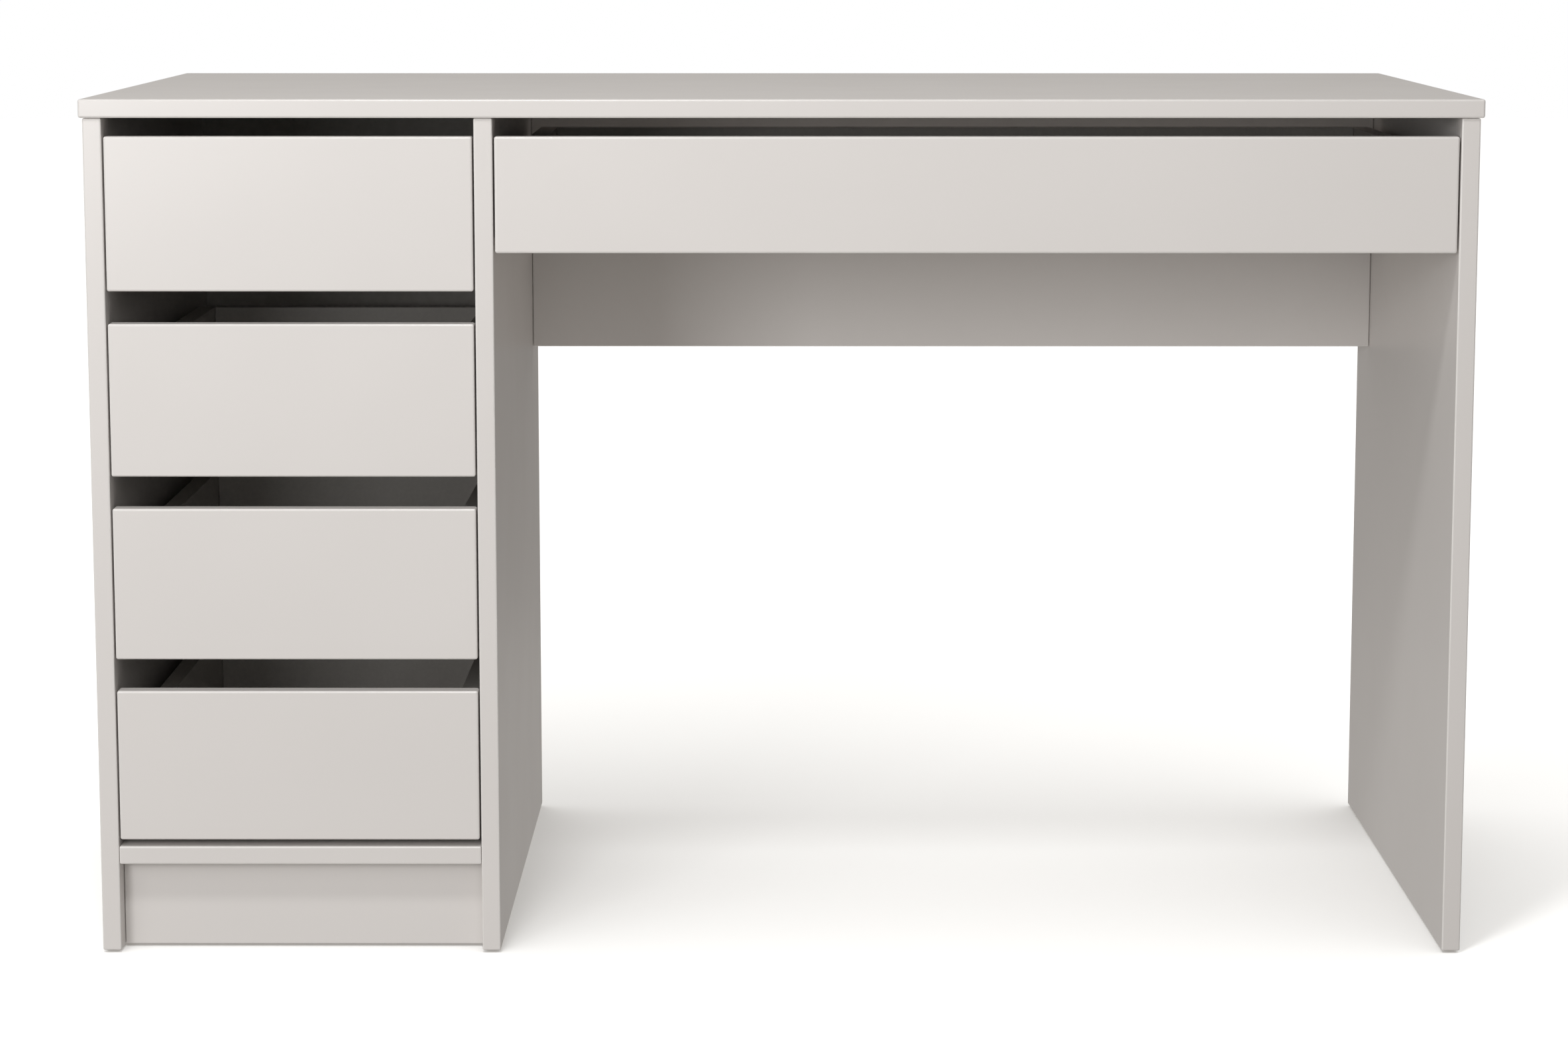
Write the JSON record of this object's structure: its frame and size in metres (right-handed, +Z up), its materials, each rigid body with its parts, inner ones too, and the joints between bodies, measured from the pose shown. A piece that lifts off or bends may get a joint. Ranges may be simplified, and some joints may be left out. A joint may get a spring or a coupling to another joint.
{
  "type": "writing desk",
  "caption": "Panel-built writing desk with a pedestal of equal handle-less drawers, one wide shallow drawer, a modesty panel and an open knee space.",
  "frame": {"origin": "on the floor, under the middle of the table top", "axes": "+X to the right of someone sitting at the desk, +Y from the drawer fronts to the back, +Z up"},
  "size_m": [1.2, 0.55, 0.75],
  "materials": {
    "satin_lacquer": "warm light grey satin lacquer on fibreboard",
    "front_lacquer": "warm light grey satin lacquer on fibreboard, edges rounded over",
    "box_melamine": "light grey melamine-faced chipboard with banded edges",
    "coated_hardboard": "light grey coated hardboard",
    "coated_steel": "pale epoxy-coated rolled steel",
    "zinc_steel": "zinc-plated fittings, which only the visual model shows: screws, axles, pins and cam fittings",
    "nylon": "moulded natural nylon, which only the visual model shows: the runner rollers",
    "glide_plastic": "moulded polyethylene"
  },
  "bodies": {
    "carcass": {"base_shelf": "satin_lacquer", "drawer_1_left_carcass_runner": "coated_steel", "drawer_1_right_carcass_runner": "coated_steel", "drawer_2_left_carcass_runner": "coated_steel", "drawer_2_right_carcass_runner": "coated_steel", "drawer_3_left_carcass_runner": "coated_steel", "drawer_3_right_carcass_runner": "coated_steel", "drawer_4_left_carcass_runner": "coated_steel", "drawer_4_right_carcass_runner": "coated_steel", "left_side_panel": "satin_lacquer", "left_side_panel_back_glide": "glide_plastic", "left_side_panel_front_glide": "glide_plastic", "middle_panel": "satin_lacquer", "middle_panel_back_glide": "glide_plastic", "middle_panel_front_glide": "glide_plastic", "modesty_panel": "satin_lacquer", "pedestal_back_panel": "coated_hardboard", "plinth_board": "satin_lacquer", "right_side_panel": "satin_lacquer", "right_side_panel_back_glide": "glide_plastic", "right_side_panel_front_glide": "glide_plastic", "table_top": "satin_lacquer", "wide_drawer_left_carcass_runner": "coated_steel", "wide_drawer_right_carcass_runner": "coated_steel"},
    "drawer_1": {"drawer_1_back": "box_melamine", "drawer_1_bottom": "coated_hardboard", "drawer_1_front": "front_lacquer", "drawer_1_left_drawer_runner": "coated_steel", "drawer_1_left_side": "box_melamine", "drawer_1_right_drawer_runner": "coated_steel", "drawer_1_right_side": "box_melamine"},
    "drawer_2": {"drawer_2_back": "box_melamine", "drawer_2_bottom": "coated_hardboard", "drawer_2_front": "front_lacquer", "drawer_2_left_drawer_runner": "coated_steel", "drawer_2_left_side": "box_melamine", "drawer_2_right_drawer_runner": "coated_steel", "drawer_2_right_side": "box_melamine"},
    "drawer_3": {"drawer_3_back": "box_melamine", "drawer_3_bottom": "coated_hardboard", "drawer_3_front": "front_lacquer", "drawer_3_left_drawer_runner": "coated_steel", "drawer_3_left_side": "box_melamine", "drawer_3_right_drawer_runner": "coated_steel", "drawer_3_right_side": "box_melamine"},
    "drawer_4": {"drawer_4_back": "box_melamine", "drawer_4_bottom": "coated_hardboard", "drawer_4_front": "front_lacquer", "drawer_4_left_drawer_runner": "coated_steel", "drawer_4_left_side": "box_melamine", "drawer_4_right_drawer_runner": "coated_steel", "drawer_4_right_side": "box_melamine"},
    "wide_drawer": {"wide_drawer_back": "box_melamine", "wide_drawer_bottom": "coated_hardboard", "wide_drawer_front": "front_lacquer", "wide_drawer_left_drawer_runner": "coated_steel", "wide_drawer_left_side": "box_melamine", "wide_drawer_right_drawer_runner": "coated_steel", "wide_drawer_right_side": "box_melamine"}
  },
  "joints": [
    {"name": "drawer_1_slide", "type": "slide", "parent": "carcass", "child": "drawer_1", "axis": [0, -1, 0], "range_m": [0, 0.3]},
    {"name": "drawer_2_slide", "type": "slide", "parent": "carcass", "child": "drawer_2", "axis": [0, -1, 0], "range_m": [0, 0.3]},
    {"name": "drawer_3_slide", "type": "slide", "parent": "carcass", "child": "drawer_3", "axis": [0, -1, 0], "range_m": [0, 0.3]},
    {"name": "drawer_4_slide", "type": "slide", "parent": "carcass", "child": "drawer_4", "axis": [0, -1, 0], "range_m": [0, 0.3]},
    {"name": "wide_drawer_slide", "type": "slide", "parent": "carcass", "child": "wide_drawer", "axis": [0, -1, 0], "range_m": [0, 0.3]}
  ]
}
